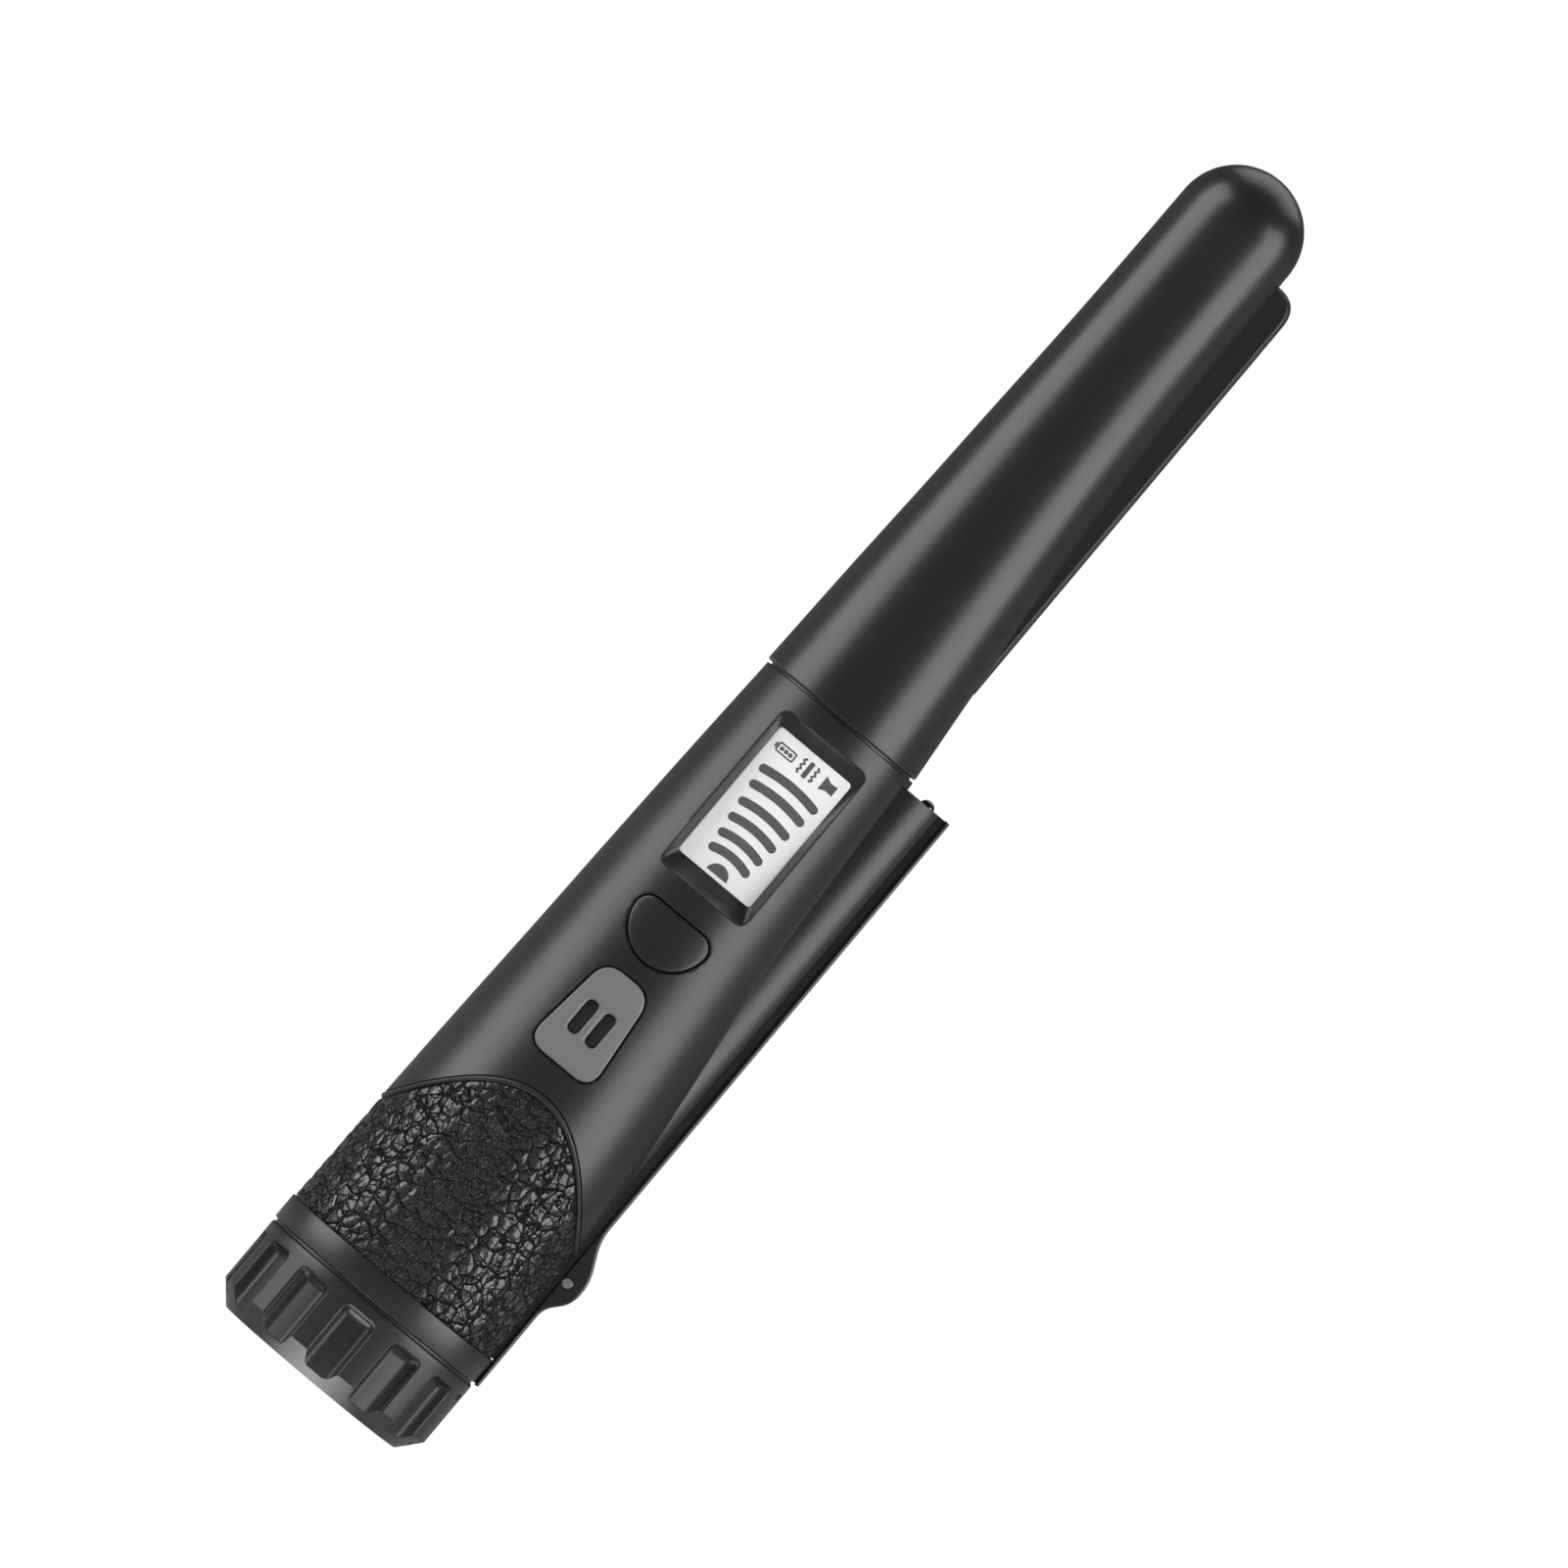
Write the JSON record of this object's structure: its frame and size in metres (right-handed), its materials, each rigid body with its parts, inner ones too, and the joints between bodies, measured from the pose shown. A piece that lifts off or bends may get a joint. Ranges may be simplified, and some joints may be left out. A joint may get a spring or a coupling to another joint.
{
  "type": "handheld scanner wand",
  "caption": "Handheld scanner wand: round-nosed probe with scraper blade, handle with bar display, two push buttons, torch, grained grip, lanyard lug and fluted screw cap.",
  "frame": {"origin": "centre of the flat base of the battery cap, on the cap axis", "axes": "+Z along the handle towards the probe's nose, -Y out of the display face, +X towards the blade, torch and spine side"},
  "size_m": [0.0453, 0.0414, 0.245],
  "materials": {
    "black_plastic": "satin moulded plastic, near black",
    "inner_plastic": "plain moulded plastic",
    "grey_button": "satin mid grey plastic",
    "button_inlay": "matt black rubber",
    "grip_leather": "pebbled black leather grain, soft sheen",
    "grip_piping": "smooth dark rubber bead",
    "seal_rubber": "matt black",
    "wire_jacket": "matt black insulation",
    "display_glass": "clear acrylic over a pale display, gloss",
    "display_film": "liquid crystal panel, pale grey",
    "diffuser": "white light guide",
    "circuit_board": "green solder mask",
    "chip_black": "black moulded package",
    "steel": "brushed steel",
    "copper": "enamelled copper wire",
    "ferrite": "dark sintered ferrite",
    "former": "natural nylon",
    "led_dome": "smoked dome, gloss",
    "battery_case": "printed steel jacket, grey"
  },
  "bodies": {
    "handle": {"probe_shell": "black_plastic", "scraper_blade": "black_plastic", "coil_former": "former", "ferrite_rod": "ferrite", "transmit_winding": "copper", "receive_winding": "copper", "probe_seal": "seal_rubber", "coil_lead": "wire_jacket", "handle_barrel": "black_plastic", "end_ring": "black_plastic", "cap_seal": "seal_rubber", "grip_wrap": "grip_leather", "grip_trim": "grip_piping", "spine_strip": "black_plastic", "lanyard_pin": "steel", "torch_led": "led_dome", "torch_board": "circuit_board", "torch_lead": "wire_jacket", "display_window": "display_glass", "display_panel": "display_film", "display_backlight": "diffuser", "display_contact_strip": "seal_rubber", "mode_button_switch": "chip_black", "power_button_switch": "chip_black", "main_board": "circuit_board", "board_carrier": "inner_plastic", "board_screw_1": "steel", "board_screw_2": "steel", "board_screw_3": "steel", "board_screw_4": "steel", "processor_chip": "chip_black", "amplifier_chip": "chip_black", "buzzer": "chip_black", "vibration_motor": "steel", "battery": "battery_case", "contact_board": "circuit_board", "battery_contact_positive": "steel", "battery_contact_negative": "steel", "battery_lead": "wire_jacket"},
    "mode_button": {"mode_button": "black_plastic", "mode_button_plunger": "inner_plastic"},
    "power_button": {"power_button": "grey_button", "power_button_plunger": "inner_plastic", "power_button_inlay_left": "button_inlay", "power_button_inlay_right": "button_inlay"},
    "vibration_weight": {"vibration_weight": "steel"},
    "pressure_plate": {"cap_pressure_plate": "inner_plastic"},
    "battery_cap": {"battery_cap": "black_plastic", "cap_spring": "steel"}
  },
  "joints": [
    {"name": "mode_press", "type": "slide", "parent": "handle", "child": "mode_button", "axis": [0, 1, 0], "range_m": [0, 0.0008], "stiffness_N_per_m": 500},
    {"name": "power_press", "type": "slide", "parent": "handle", "child": "power_button", "axis": [0, 1, 0], "range_m": [0, 0.0008], "stiffness_N_per_m": 500},
    {"name": "vibration_spin", "type": "hinge", "parent": "handle", "child": "vibration_weight", "pos_m": [-0.0018, -0.0003, 0.097], "axis": [0, 0, 1], "continuous": true},
    {"name": "cap_travel", "type": "slide", "parent": "handle", "child": "pressure_plate", "axis": [0, 0, -1], "range_m": [0, 0.009]},
    {"name": "cap_turn", "type": "hinge", "parent": "pressure_plate", "child": "battery_cap", "pos_m": [0, 0, 0], "axis": [0, 0, -1], "range_deg": [0, 1080]}
  ],
  "couplings": [
    {"joint": "cap_travel", "follows": "cap_turn", "m_per_rad": 0.00047746}
  ]
}
